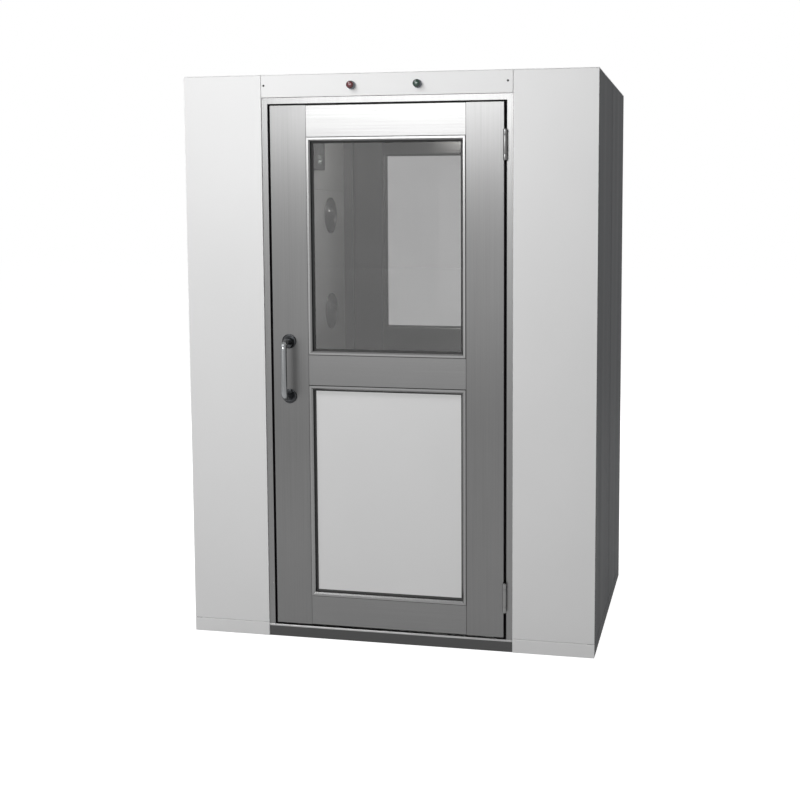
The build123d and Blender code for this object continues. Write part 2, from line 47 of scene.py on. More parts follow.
# The photograph's frame, in pixels, and where its camera stood, in metres and degrees
IMAGE_SIZE = 800
FOCAL_PIXELS = 1194
VIEW_CENTRE = (484, 325)
CAMERA_PLACE = (1.169, -4.572, 1.554)
CAMERA_TURN = 11.31
CAMERA_DIP = 5.26
SENSOR_WIDTH = 36

# Stage: the floor's width in metres, the room's light on the object, the floor's own glow where it is
# seen, and its paleness where it is seen and where it only throws light back
FLOOR_WIDTH = 60.0
AMBIENT = 0.17
FLOOR_GLOW = 0.93
FLOOR_SEEN = 0.42
FLOOR_BOUNCE = 0.2

# Studio lamps: place, aim and size in metres, and power in watts
STUDIO_LAMPS = {
    "key": ((-1.3, -2.3, 3.4), (-0.3, -0.5, 1.4), (1.2, 0.8), 24),
    "high_card": ((-0.95, -4.8, 2.65), (-0.2, -0.5, 1.9), (2.6, 1.1), 94),
    "low_card": ((-0.95, -4.7, 1.35), (-0.2, -0.5, 1.4), (2.6, 1.75), 16),
    "rear_fill": ((-0.6, 4.6, 2.8), (0, 0.5, 1.2), (2.4, 1.6), 150),
    "right_fill": ((4.6, 1.2, 2.8), (0.75, 0, 1.2), (2.4, 1.6), 70),
    "left_fill": ((-4.6, 1.2, 2.8), (-0.75, 0, 1.2), (2.4, 1.6), 120),
}

# Cabin faces
FRONT_FACE = -500
WALL_X = 456
WALL_GAP = 0.3
LEAF_MIDDLE = -480

# Height of the foot of the sill's nosing, above which the sill carries a painted highlight
NOSING_FOOT = 38

# Pull handles
HANDLE_X = -363
HANDLE_HEIGHTS = (900, 1100)
HANDLE_STANDOFF = 60
HANDLE_BEND = 26
HANDLE_RADIUS = 11
ROSE_RADIUS = 26
ROSE_THICKNESS = 7
ROSE_RIM = 2.5
ROSE_FOOT_EDGE = 0.6
ROSE_HOLE_EDGE = 0.8
GRUB_SINK = 0.1

# Hinges
HINGE_AXIS = (430, -508)
HINGE_HEIGHTS = (200, 1795.2)
HINGE_RADIUS = 7
HINGE_LENGTH = 106
KNUCKLE_LENGTH = 21
KNUCKLE_GAP = 0.4
KNUCKLE_EDGE = 0.9
PIN_RADIUS = 3.3
PIN_FACE_RADIUS = 2.9
PIN_SINK = 0.7
PLATE_THICKNESS = 2.5
PLATE_BACK = -466
PLATE_CORNER = 4
PLATE_EDGE = 0.3
PLATE_SCREW_Y = (-490, -476)
FRAME_SCREW_RISE = 42
DOOR_SCREW_RISE = 20
LEAF_EDGE = 425
JAMB_FACE = 435

# Air nozzles
NOZZLE_ROWS = (1553, 1151.5, 750)
NOZZLE_Y = (-256, 256)
FLANGE_RADIUS = 75
FLANGE_FACE = 4.3
RING_RADIUS = 54
RING_FACE = 8.5
RIM_EDGE = 2
SEAT_RADIUS = 43
BALL_RADIUS = 46
BALL_CENTRE = -26.5
BALL_EDGE = 40
BORE_RADIUS = 15
BORE_LIP = 16.5
SLEEVE_RADIUS = 48
SLEEVE_DEPTH = 40

# Pilot lamps
LAMP_X = (("red", -120), ("green", 120))
LAMP_HEIGHT = 2008
BEZEL_RADIUS = 15
BEZEL_FACE = 8
BEZEL_EDGE = 0.5
BEZEL_NOSE = (2, 2.5)
LENS_RADIUS = 13.5
LENS_FOOT = -4
LENS_BASE = 8.3
LENS_EDGE = 0.5
LENS_SHOULDER = 18
LENS_TOP = 24
LENS_GROOVES = (11, 13, 15)
GROOVE_DEPTH = 0.5
LAMP_BODY_RADIUS = 10.5

# Control unit
CONTROL_CENTRE = (33, 1810)
CONTROL_SIZE = 150
CONTROL_FACE = -426
CONTROL_LID = 14
CONTROL_NECK = 3
CONTROL_SEAM = 0.8
CORE_HALF = 4
CUTTER_REACH = 5
DISPLAY_CENTRE = (56, 1776)
DISPLAY_SIZE = (60, 42)
DISPLAY_RECESS = 3
READOUT_SIZE = (50, 15)
READOUT_SPACING = 19.5
READOUT_SPAN = (-0.2, 1.6)

# Ceiling light
CEILING = 1960
LIGHT_HALF = (100, 300)
LIGHT_RIM = 12
LIGHT_PROUD = 4
LIGHT_EDGE = 1.5
LIGHT_LIP = 2
SHEET_SPAN = (0.6, 2.2)

# Screws, each as the radius and height of its head and the radius of its socket
NOZZLE_SCREW = (4.2, 2.4, 1.6)
GRUB_SCREW = (2.4, 0.6, 1.2)
PLATE_SCREW = (3.6, 0.5, 1.5)
PANEL_SCREW = (3.8, 2.0, 1.7)
HEADER_SCREWS = ((-446, 2012), (438, 2012))
GRILLE_SCREW_Y = (-290, 0, 290)
GRILLE_SCREW_Z = (120, 400)
GRILLE_FACE = 3.3


def linear(hex_colour):
    """An sRGB hex colour as linear red, green, blue and alpha."""
    parts = [int(hex_colour[i:i + 2], 16) / 255 for i in (1, 3, 5)]
    return [p / 12.92 if p <= 0.04045 else ((p + 0.055) / 1.055) ** 2.4 for p in parts] + [1.0]


def wire(tree, node, inputs):
    """Sets a node's inputs. Each takes a value, a socket, or a node, whose first output in use feeds it."""
    for key, value in inputs.items():
        if isinstance(value, bpy.types.Node):
            value = next(output for output in value.outputs if output.enabled)
        if isinstance(value, bpy.types.NodeSocket):
            tree.links.new(value, node.inputs[key])
        else:
            node.inputs[key].default_value = value


def add(tree, kind, inputs=None, **settings):
    """Adds a node with its settings and links."""
    node = tree.nodes.new("ShaderNode" + kind)
    for name, value in settings.items():
        setattr(node, name, value)
    wire(tree, node, inputs or {})
    return node


def new_finish(name, values):
    """A material with its shader's constant values set. Returns it, its node tree and its shader."""
    made = bpy.data.materials.new(name)
    made.use_nodes = True
    shader = made.node_tree.nodes["Principled BSDF"]
    wire(made.node_tree, shader, values)
    return made, made.node_tree, shader


def pattern_place(tree, x, y, z):
    """Object coordinates in units of a pattern's size, given in millimetres along each axis."""
    place = add(tree, "TexCoord").outputs["Object"]
    return add(tree, "Mapping", {"Vector": place, "Scale": (1 / (x * MM), 1 / (y * MM), 1 / (z * MM))})


def powder_coat(name, light, dark, roughness, specular):
    """Polyester powder baked on sheet steel: an even satin skin, with an orange peel that softens
    reflections and a slow wave where the sheet isn't quite flat."""
    made, tree, skin = new_finish(name, {"IOR": 1.5, "Specular IOR Level": specular})
    cloud = add(tree, "TexNoise", {"Vector": pattern_place(tree, 700, 700, 900), "Scale": 1.0,
                                   "Detail": 3.0})
    tone = add(tree, "MapRange", {"Value": cloud, **NOISE_SPAN})
    colour = add(tree, "Mix", {"Factor": tone, 6: linear(dark), 7: linear(light)}, data_type="RGBA")
    # The real peel is about 1 mm across. It is drawn 5 mm across, so that it shows.
    peel = add(tree, "TexNoise", {"Vector": pattern_place(tree, 5, 5, 5), "Scale": 1.0, "Detail": 1.0})
    gloss = add(tree, "MapRange", {"Value": peel, **NOISE_SPAN, "To Min": roughness - 0.04,
                                   "To Max": roughness + 0.04})
    wave = add(tree, "TexNoise", {"Vector": pattern_place(tree, 260, 260, 420), "Scale": 1.0,
                                  "Detail": 0.0})
    sheet = add(tree, "Bump", {"Height": wave, "Strength": 0.2, "Distance": 1.0 * MM})
    skin_bump = add(tree, "Bump", {"Height": peel, "Strength": 0.1, "Distance": 0.15 * MM, "Normal": sheet})
    wire(tree, skin, {"Base Color": colour, "Roughness": gloss, "Normal": skin_bump})
    return made


def streaked_coat(name, light, dark):
    """Dark semi-gloss lacquer: a deep grey with soft broad streaks down it, painted reflections that are
    lighter and darker grey.
    """
    made, tree, skin = new_finish(name, {"IOR": 1.45, "Specular IOR Level": 0.04})
    painted_reflection_streaks = add(tree, "TexNoise", {"Vector": pattern_place(tree, 90, 90, 2600), "Scale": 1.0,
                                    "Detail": 3.0})
    # The streaks colour the panel lighter and darker as painted reflections, and also vary its gloss
    tone = add(tree, "MapRange", {"Value": painted_reflection_streaks, **NOISE_SPAN})
    colour = add(tree, "Mix", {"Factor": tone, 6: linear(dark), 7: linear(light)}, data_type="RGBA")
    gloss = add(tree, "MapRange", {"Value": painted_reflection_streaks, **NOISE_SPAN, "To Min": 0.5, "To Max": 0.6})
    # The real skin's grain is under 1 mm. It is drawn 6 mm across, so that it shows.
    grain = add(tree, "TexNoise", {"Vector": pattern_place(tree, 6, 6, 6), "Scale": 1.0, "Detail": 2.0})
    bump = add(tree, "Bump", {"Height": grain, "Strength": 0.15, "Distance": 0.2 * MM})
    wire(tree, skin, {"Base Color": colour, "Roughness": gloss, "Normal": bump})
    return made


def brushed_stainless(name, light, dark, grain, roughness=0.32, pull=0.6):
    """Stainless sheet drawn under an abrasive belt: long fine scratches along one axis, which pull each
    reflection out across them and break it into streaks."""
    turn = {0: 0.25, 2: 0.0}[grain]
    values = {"Metallic": 1.0, "Anisotropic": pull, "Anisotropic Rotation": turn}
    made, tree, skin = new_finish(name, values)
    # Real scratches are about 0.1 mm wide. These are 3 mm wide and 500 mm long, so that they show.
    size = [3.0, 3.0, 3.0]
    size[grain] = 500.0
    scratch = add(tree, "TexNoise", {"Vector": pattern_place(tree, *size), "Scale": 1.0, "Detail": 4.0})
    cloud = add(tree, "TexNoise", {"Vector": pattern_place(tree, 200, 200, 300), "Scale": 1.0,
                                   "Detail": 2.0})
    both = add(tree, "Mix", {"Factor": 0.3, 2: scratch, 3: cloud}, data_type="FLOAT")
    tone = add(tree, "MapRange", {"Value": both, **NOISE_SPAN})
    colour = add(tree, "Mix", {"Factor": tone, 6: linear(dark), 7: linear(light)}, data_type="RGBA")
    gloss = add(tree, "MapRange", {"Value": both, **NOISE_SPAN, "To Min": roughness + 0.015,
                                   "To Max": roughness - 0.015})
    bump = add(tree, "Bump", {"Height": scratch, "Strength": 0.05, "Distance": 0.15 * MM})
    across = add(tree, "Tangent", direction_type="RADIAL", axis="Z")
    wire(tree, skin, {"Base Color": colour, "Roughness": gloss, "Normal": bump, "Tangent": across})
    return made


def highlighted_sill(name, painted_highlight_colour, painted_shade_colour):
    """Stainless threshold: dark drawn steel whose face is coloured darker still as painted shade, and a
    nosing painted bright as a painted highlight.
    """
    made, tree, skin = new_finish(name, {"Metallic": 1.0})
    place = add(tree, "SeparateXYZ", {"Vector": add(tree, "TexCoord").outputs["Object"]})
    nosing = add(tree, "MapRange", {"Value": place.outputs["Z"], "From Min": (NOSING_FOOT - 0.5) * MM,
                                    "From Max": (NOSING_FOOT + 0.5) * MM})
    # Real scratches are about 0.1 mm wide. These are 3 mm wide and 500 mm long, so that they show.
    scratch = add(tree, "TexNoise", {"Vector": pattern_place(tree, 500, 3, 3), "Scale": 1.0, "Detail": 4.0})
    # Above its foot the nosing is painted lighter, a painted highlight streaked by the scratch pattern;
    # below it the sill keeps its painted shade colour
    painted_highlight = add(tree, "Math", {0: nosing, 1: scratch}, operation="MULTIPLY")
    colour = add(tree, "Mix", {"Factor": painted_highlight, 6: linear(painted_shade_colour), 7: linear(painted_highlight_colour)}, data_type="RGBA")
    gloss = add(tree, "MapRange", {"Value": scratch, **NOISE_SPAN, "To Min": 0.38, "To Max": 0.32})
    wire(tree, skin, {"Base Color": colour, "Roughness": gloss})
    return made


def polished_metal(name, light, dark, roughness):
    """Buffed metal: mirror-like, with faint swirls from the mop that vary its gloss."""
    made, tree, skin = new_finish(name, {"Metallic": 1.0})
    swirl = add(tree, "TexNoise", {"Vector": pattern_place(tree, 14, 14, 14), "Scale": 1.0, "Detail": 5.0,
                                   "Distortion": 1.2})
    colour = add(tree, "Mix", {"Factor": swirl, 6: linear(dark), 7: linear(light)}, data_type="RGBA")
    gloss = add(tree, "MapRange", {"Value": swirl, **NOISE_SPAN, "To Min": roughness * 0.7,
                                   "To Max": roughness * 1.3})
    wire(tree, skin, {"Base Color": colour, "Roughness": gloss})
    return made


def cast_grain(name, light, dark, roughness, metallic, grain=1.5, depth=0.3):
    """Metal or plastic with a fine even grain: bead-blasted or textured in its mould."""
    made, tree, skin = new_finish(name, {"Metallic": metallic})
    # The real grain is about 0.3 mm. It is drawn coarser, so that it shows close up.
    speck = add(tree, "TexNoise", {"Vector": pattern_place(tree, grain, grain, grain), "Scale": 1.0,
                                   "Detail": 3.0})
    colour = add(tree, "Mix", {"Factor": speck, 6: linear(dark), 7: linear(light)}, data_type="RGBA")
    gloss = add(tree, "MapRange", {"Value": speck, **NOISE_SPAN, "To Min": roughness - 0.05,
                                   "To Max": roughness + 0.05})
    bump = add(tree, "Bump", {"Height": speck, "Strength": depth, "Distance": 0.1 * MM})
    wire(tree, skin, {"Base Color": colour, "Roughness": gloss, "Normal": bump})
    return made


def zinc_spangle(name, light, dark):
    """Hot-dip zinc on steel: flat crystals about 12 mm across, each a slightly different grey."""
    made, tree, skin = new_finish(name, {"Metallic": 0.9})
    crystal = add(tree, "TexVoronoi", {"Vector": pattern_place(tree, 12, 12, 12), "Scale": 1.0})
    shade = add(tree, "SeparateColor", {"Color": crystal.outputs["Color"]})
    colour = add(tree, "Mix", {"Factor": shade, 6: linear(dark), 7: linear(light)}, data_type="RGBA")
    gloss = add(tree, "MapRange", {"Value": shade, "To Min": 0.35, "To Max": 0.5})
    wire(tree, skin, {"Base Color": colour, "Roughness": gloss})
    return made


def tinted_glass(name, light, dark):
    """Toughened float glass with a grey tint: a flat clear pane with the faintest roller wave."""
    made, tree, skin = new_finish(name, {"Roughness": 0.0, "Transmission Weight": 1.0, "IOR": 1.52,
                                         "Specular IOR Level": 0.25})
    wave = add(tree, "TexNoise", {"Vector": pattern_place(tree, 220, 220, 90), "Scale": 1.0, "Detail": 0.0})
    colour = add(tree, "Mix", {"Factor": wave, 6: linear(dark), 7: linear(light)}, data_type="RGBA")
    bump = add(tree, "Bump", {"Height": wave, "Strength": 0.05, "Distance": 0.2 * MM})
    wire(tree, skin, {"Base Color": colour, "Normal": bump})
    return made


def coloured_lens(name, rim, painted_sheen_colour):
    """Moulded acrylic over a lamp that is off: deep at the rim, and painted lighter towards the dome's
    front as a painted sheen.
    """
    values = {"Roughness": 0.12, "IOR": 1.49, "Coat Weight": 0.2, "Coat Roughness": 0.05}
    made, tree, skin = new_finish(name, values)
    place = add(tree, "SeparateXYZ", {"Vector": add(tree, "TexCoord").outputs["Object"]})
    out = add(tree, "Math", {0: place.outputs["Y"]}, operation="ABSOLUTE")
    dome = add(tree, "MapRange", {"Value": out, "From Min": (LENS_SHOULDER - FRONT_FACE) * MM,
                                  "From Max": (LENS_TOP - FRONT_FACE) * MM})
    fleck = add(tree, "TexNoise", {"Vector": pattern_place(tree, 2, 2, 2), "Scale": 1.0, "Detail": 2.0})
    # The dome is painted lighter towards its front, a painted sheen, broken up by flecks
    depth = add(tree, "Math", {0: dome, 1: fleck}, operation="MULTIPLY")
    colour = add(tree, "Mix", {"Factor": depth, 6: linear(rim), 7: linear(painted_sheen_colour)}, data_type="RGBA")
    wire(tree, skin, {"Base Color": colour})
    return made


def lit_diffuser(name, colour, strength):
    """Opal acrylic lit from behind, with a fine prism pattern of 6 mm."""
    made, tree, skin = new_finish(name, {"Roughness": 0.4, "IOR": 1.49, "Emission Strength": strength})
    prism = add(tree, "TexChecker", {"Vector": pattern_place(tree, 6, 6, 6), "Scale": 1.0,
                                     "Color1": linear("#ffffff"), "Color2": linear("#e6e6e2")})
    bump = add(tree, "Bump", {"Height": prism.outputs["Fac"], "Strength": 0.3, "Distance": 0.3 * MM})
    wire(tree, skin, {"Base Color": prism.outputs["Color"], "Emission Color": linear(colour),
                      "Normal": bump})
    return made


def filter_felt(name, light, dark):
    """Non-woven polyester: crossed white fibres, matt and soft."""
    made, tree, skin = new_finish(name, {"Roughness": 0.95, "Sheen Weight": 0.2})
    one = add(tree, "TexNoise", {"Vector": pattern_place(tree, 20, 20, 1.5), "Scale": 1.0, "Detail": 3.0})
    two = add(tree, "TexNoise", {"Vector": pattern_place(tree, 20, 1.5, 20), "Scale": 1.0, "Detail": 3.0})
    fibres = add(tree, "Math", {0: one, 1: two}, operation="MAXIMUM")
    tone = add(tree, "MapRange", {"Value": fibres, "From Min": 0.4, "From Max": 0.7})
    colour = add(tree, "Mix", {"Factor": tone, 6: linear(dark), 7: linear(light)}, data_type="RGBA")
    bump = add(tree, "Bump", {"Height": fibres, "Strength": 0.4, "Distance": 1.0 * MM})
    wire(tree, skin, {"Base Color": colour, "Normal": bump})
    return made


def readout_window(name, light, dark):
    """A liquid crystal window that shows nothing: a grey-green field with its faint grid of cells."""
    values = {"Roughness": 0.1, "IOR": 1.5, "Coat Weight": 0.6, "Coat Roughness": 0.04}
    made, tree, skin = new_finish(name, values)
    cell = add(tree, "TexBrick", {"Vector": pattern_place(tree, 5, 5, 7), "Scale": 1.0, "Mortar Size": 0.03,
                                  "Color1": linear(light), "Color2": linear(light), "Mortar": linear(dark)})
    wire(tree, skin, {"Base Color": cell.outputs["Color"]})
    return made


FINISHES = {
    "white_panel": powder_coat("white_powder_coated_steel", "#eeeeee", "#e8e8e8", 0.4, 0.35),
    # Its upright streaks are painted reflections
    "side_panel": streaked_coat("dark_grey_lacquered_steel", "#393a3c", "#2e2f31"),
    "galvanised_sheet": zinc_spangle("galvanised_steel", "#a4a7aa", "#8c8f92"),
    "floor_steel": brushed_stainless("floor_stainless", "#8d8d8d", "#808080", 0, 0.42, 0.4),
    "inner_steel": brushed_stainless("satin_stainless", "#b8b8b8", "#b0b0b0", 2, 0.5, 0.3),
    "frame_steel": brushed_stainless("upright_brushed_stainless", "#6a6a6a", "#646464", 2),
    # The sill: a painted highlight on its nosing and painted shade on its face
    "sill_steel": highlighted_sill("sill_stainless", "#c4c4c4", "#464646"),
    "hinge_steel": brushed_stainless("satin_hinge_stainless", "#747474", "#6a6a6a", 2, 0.28, 0.3),
    "handle_steel": polished_metal("polished_stainless", "#868788", "#787a7b", 0.17),
    # Pilot lamp rings: chrome coloured darker and bluer than it is, a painted dark reflection
    "lamp_chrome": polished_metal("chromed_brass", "#7c8088", "#6a6e76", 0.08),
    "nozzle_aluminium": cast_grain("anodised_aluminium", "#575757", "#4b4b4b", 0.16, 1.0),
    "black_rubber": cast_grain("black_epdm_rubber", "#1a1a1a", "#111111", 0.65, 0.0),
    "window_glass": tinted_glass("grey_float_glass", "#c7c7c7", "#c3c3c3"),
    "white_board": powder_coat("white_coated_board", "#e9e9e9", "#e4e4e4", 0.35, 0.35),
    # The lenses' lighter colour is a painted sheen on the front of each dome
    "red_lens": coloured_lens("red_acrylic", "#240308", "#840c24"),
    "green_lens": coloured_lens("green_acrylic", "#02130c", "#0a5440"),
    "dark_plastic": cast_grain("dark_grey_abs", "#2b2c2d", "#242526", 0.5, 0.0, grain=2.0),
    "display_glass": readout_window("liquid_crystal_window", "#9ea6a2", "#6a726e"),
    "diffuser": lit_diffuser("opal_acrylic", "#fffdf8", 21.0),
    "filter_pad": filter_felt("polyester_filter_felt", "#c6c6c1", "#acaca7"),
}
# Rails, brushed along their length: their reflections spread up and down instead of sideways
LEVEL_STEEL = brushed_stainless("level_brushed_stainless", "#6b6b6b", "#676767", 0, 0.24, 0.3)
# Door frames, ground evenly: a soft sheen that isn't pulled to one side
SATIN_STEEL = brushed_stainless("satin_trim_stainless", "#707070", "#6a6a6a", 2, 0.3, 0.0)
# Glazing beads, ground and then buffed, and coloured lighter than the stiles as a painted highlight, so
# that they read as thin light lines
BEAD_STEEL = brushed_stainless("bright_bead_stainless", "#7a7a7a", "#747474", 2, 0.25, 0.0)
# Header screws, chemically blackened: small dull dots
BLACK_STEEL = polished_metal("blackened_screw_steel", "#2c2c2c", "#202020", 0.4)
# Handle roses, of the handles' polished steel but coloured near black as a painted dark reflection, with
# small sharp highlights
ROSE_PAINTED_DARK = polished_metal("rose_steel_painted_dark", "#3a3b3d", "#2a2b2c", 0.12)

# Nodes whose finish isn't simply their slot's
NODE_FINISHES = {
    "rails": LEVEL_STEEL,
    "frame": SATIN_STEEL,
    "glazing_beads": BEAD_STEEL,
    "roof_panel": FINISHES["white_panel"],
}

for node_name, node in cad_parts.items():
    finish = FINISHES[node.material_slots[0].material.name]
    for ending, special in NODE_FINISHES.items():
        if node_name.endswith(ending):
            finish = special
    node.material_slots[0].material = finish


def clear_selection():
    """Leaves edit mode with nothing selected, as each new piece needs."""
    if bpy.context.mode != "OBJECT":
        bpy.ops.object.mode_set(mode="OBJECT")
    bpy.ops.object.select_all(action="DESELECT")


def pick(piece):
    """Selects one piece alone."""
    clear_selection()
    piece.select_set(True)
    bpy.context.view_layer.objects.active = piece


def select_places(test):
    """In edit mode, selects the vertices whose place, in millimetres, passes a test."""
    bpy.ops.mesh.select_all(action="DESELECT")
    piece = bpy.context.object
    mesh = bmesh.from_edit_mesh(piece.data)
    for vertex in mesh.verts:
        vertex.select = test(*(piece.matrix_world @ vertex.co / MM))
    mesh.select_flush(True)
    bmesh.update_edit_mesh(piece.data)


def finished(name, angle=30):
    """Ends the piece in edit mode: merged, closed, faces outward, its place applied, smooth where round."""
    bpy.ops.mesh.select_all(action="SELECT")
    bpy.ops.mesh.remove_doubles(threshold=0.01 * MM)
    bpy.ops.mesh.select_all(action="DESELECT")
    bpy.ops.mesh.select_non_manifold()
    bpy.ops.mesh.edge_face_add()
    bpy.ops.mesh.select_all(action="SELECT")
    bpy.ops.mesh.normals_make_consistent(inside=False)
    bpy.ops.object.mode_set(mode="OBJECT")
    piece = bpy.context.object
    piece.name = name
    bpy.ops.object.transform_apply(location=True, rotation=True, scale=True)
    bpy.ops.object.shade_smooth_by_angle(angle=math.radians(angle))
    return piece


def extrude_rings(rings, start):
    """In edit mode, extrudes the selected circle about Z through rings of (radius, height)."""
    radius, height = start
    for next_radius, next_height in rings:
        rise = (0, 0, (next_height - height) * MM)
        bpy.ops.mesh.extrude_edges_move(TRANSFORM_OT_translate={"value": rise})
        share = next_radius / radius
        bpy.ops.transform.resize(value=(share, share, 1), center_override=(0, 0, next_height * MM))
        radius, height = next_radius, next_height


def turned(name, profile, sides=48, angle=30):
    """A round piece about Z: a circle extruded through rings of (radius, height)."""
    clear_selection()
    radius, height = profile[0]
    bpy.ops.mesh.primitive_circle_add(vertices=sides, radius=radius * MM, location=(0, 0, height * MM),
                                      fill_type="NOTHING", enter_editmode=True)
    extrude_rings(profile[1:], profile[0])
    return finished(name, angle)


def rounded(corner, start, end, steps=3):
    """Rings round a corner of a profile, from one point to another along a quarter of an ellipse.
    The corner is the point where the two straight sides would have met."""
    points = []
    for i in range(steps + 1):
        turn = math.pi / 2 * i / steps
        points.append(tuple(s + (c - s) * math.sin(turn) + (e - c) * (1 - math.cos(turn))
                            for c, s, e in zip(corner, start, end)))
    return points


def copied(source, name, matrix):
    """A copy of a finished piece with its own mesh, moved by a matrix that is then applied."""
    pick(source)
    bpy.ops.object.duplicate()
    piece = bpy.context.object
    piece.name = name
    piece.matrix_world = matrix
    bpy.ops.object.transform_apply(location=True, rotation=True, scale=True)
    return piece


def joined(name, pieces):
    """Several finished pieces as one object."""
    pick(pieces[0])
    for piece in pieces[1:]:
        piece.select_set(True)
    bpy.ops.object.join()
    pieces[0].name = name
    return pieces[0]


def removed(piece):
    """Takes away a piece that was only a pattern for its copies."""
    bpy.data.objects.remove(piece)


def fitted(piece, body, slot, finish=None):
    """Gives a finished piece its material, the given finish or else its slot's, and attaches it to its
    body.
    """
    piece.data.materials.clear()
    piece.data.materials.append(finish or FINISHES[slot])
    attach(piece, body)
    return piece


def at(x, y, z):
    """A move, in millimetres."""
    return Matrix.Translation((x * MM, y * MM, z * MM))


def turned_about(axis, degrees):
    """A turn about an axis through the origin."""
    return Matrix.Rotation(math.radians(degrees), 4, axis)


HALF_TURN = turned_about("Z", 180)
OUT_OF_FRONT = turned_about("X", 90)
OUT_OF_LEFT_WALL = turned_about("Y", 90)


def socket_screw(name, radius, height, socket):
    """A pan-head screw: a round head with a rounded rim and a six-sided socket sunk in its top."""
    clear_selection()
    bpy.ops.mesh.primitive_circle_add(vertices=24, radius=radius * MM, fill_type="NOTHING",
                                      enter_editmode=True)
    rim = rounded((radius, height), (radius, 0.4 * height), (0.7 * radius, height))
    extrude_rings(rim, (radius, 0))
    bpy.ops.mesh.primitive_circle_add(vertices=6, radius=socket * MM, location=(0, 0, height * MM),
                                      fill_type="NOTHING")
    select_places(lambda x, y, z: z > 0.999 * height)
    bpy.ops.mesh.bridge_edge_loops()
    select_places(lambda x, y, z: z > 0.999 * height and math.hypot(x, y) < 1.01 * socket)
    bpy.ops.mesh.extrude_edges_move(TRANSFORM_OT_translate={"value": (0, 0, -0.7 * height * MM)})
    return finished(name)


def air_nozzle():
    """A ball nozzle about Z: a thin flange, the ring that holds the ball, and the bored ball itself."""
    flange = [(FLANGE_RADIUS, WALL_GAP)]
    flange += rounded((FLANGE_RADIUS, FLANGE_FACE), (FLANGE_RADIUS, FLANGE_FACE - RIM_EDGE),
                      (FLANGE_RADIUS - RIM_EDGE, FLANGE_FACE))
    ring = [(RING_RADIUS + 1.5, FLANGE_FACE), (RING_RADIUS + 0.5, FLANGE_FACE + 0.5)]
    ring += rounded((RING_RADIUS, RING_FACE), (RING_RADIUS, RING_FACE - RIM_EDGE),
                    (RING_RADIUS - RIM_EDGE, RING_FACE))
    ring += rounded((SEAT_RADIUS, RING_FACE), (SEAT_RADIUS + RIM_EDGE, RING_FACE),
                    (SEAT_RADIUS, RING_FACE - RIM_EDGE))
    seat = BALL_CENTRE + math.sqrt(BALL_RADIUS ** 2 - BALL_EDGE ** 2)
    ring.append((SEAT_RADIUS, seat - RIM_EDGE))
    ball = []
    steps = 10
    low, high = math.acos(BALL_EDGE / BALL_RADIUS), math.acos(BORE_LIP / BALL_RADIUS)
    for i in range(steps + 1):
        turn = low + (high - low) * i / steps
        ball.append((BALL_RADIUS * math.cos(turn), BALL_CENTRE + BALL_RADIUS * math.sin(turn)))
    mouth = ball[-1][1]
    bore = rounded((BORE_RADIUS, mouth), (BORE_LIP, mouth), (BORE_RADIUS, mouth - 1.5))
    back = [(BORE_RADIUS, -SLEEVE_DEPTH), (SLEEVE_RADIUS, -SLEEVE_DEPTH), (SLEEVE_RADIUS, WALL_GAP)]
    body = turned("nozzle_body", flange + ring + ball + bore + back + [flange[0]], 64)
    screw = socket_screw("nozzle_screw", *NOZZLE_SCREW)
    reach = (FLANGE_RADIUS + RING_RADIUS) / 2
    screws = []
    for turn in (90, 210, 330):
        place = turned_about("Z", turn) @ at(reach, 0, FLANGE_FACE)
        screws.append(copied(screw, "nozzle_screw_copy", place))
    removed(screw)
    return joined("nozzle_pattern", [body] + screws)


def make_nozzles():
    """Twelve nozzles, two a row on each side wall."""
    pattern = air_nozzle()
    for side, turn in (("left", Matrix()), ("right", HALF_TURN)):
        for row, height in enumerate(NOZZLE_ROWS):
            for y in NOZZLE_Y:
                end = "front" if y * (1 if side == "left" else -1) < 0 else "rear"
                place = turn @ at(-WALL_X, y, height) @ OUT_OF_LEFT_WALL
                name = f"{side}_{('high', 'middle', 'low')[row]}_{end}_nozzle"
                piece = fitted(copied(pattern, name, place), "cabin", "nozzle_aluminium")
                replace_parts(piece, "air_nozzles")
    removed(pattern)


def rose():
    """A handle's round foot about Z: a disc with a rounded rim and a hole for the bar."""
    rim = [(ROSE_RADIUS - ROSE_FOOT_EDGE, 0), (ROSE_RADIUS, ROSE_FOOT_EDGE)]
    face = ROSE_THICKNESS
    rim += rounded((ROSE_RADIUS, face), (ROSE_RADIUS, face - ROSE_RIM), (ROSE_RADIUS - ROSE_RIM, face), 4)
    hole = rounded((HANDLE_RADIUS, face), (HANDLE_RADIUS + ROSE_HOLE_EDGE, face),
                   (HANDLE_RADIUS, face - ROSE_HOLE_EDGE), 2)
    return turned("rose", rim + hole + [(HANDLE_RADIUS, 0), rim[0]], 48)


def bent_bar():
    """The handle's round bar: out from the upper rose, down and back in to the lower one."""
    clear_selection()
    low, high = HANDLE_HEIGHTS
    out = FRONT_FACE - HANDLE_STANDOFF
    inset = 1
    bpy.ops.mesh.primitive_circle_add(vertices=32, radius=HANDLE_RADIUS * MM, fill_type="NOTHING",
                                      location=(HANDLE_X * MM, (FRONT_FACE - inset) * MM, high * MM),
                                      rotation=(math.pi / 2, 0, 0), enter_editmode=True)
    run = HANDLE_STANDOFF - HANDLE_BEND - inset
    bend = {"steps": 16, "angle": math.pi / 2, "axis": (-1, 0, 0)}
    bpy.ops.mesh.extrude_edges_move(TRANSFORM_OT_translate={"value": (0, -run * MM, 0)})
    bpy.ops.mesh.spin(center=(HANDLE_X * MM, (out + HANDLE_BEND) * MM, (high - HANDLE_BEND) * MM), **bend)
    drop = high - low - 2 * HANDLE_BEND
    bpy.ops.mesh.extrude_edges_move(TRANSFORM_OT_translate={"value": (0, 0, -drop * MM)})
    bpy.ops.mesh.spin(center=(HANDLE_X * MM, (out + HANDLE_BEND) * MM, (low + HANDLE_BEND) * MM), **bend)
    bpy.ops.mesh.extrude_edges_move(TRANSFORM_OT_translate={"value": (0, run * MM, 0)})
    return finished("handle_bar")


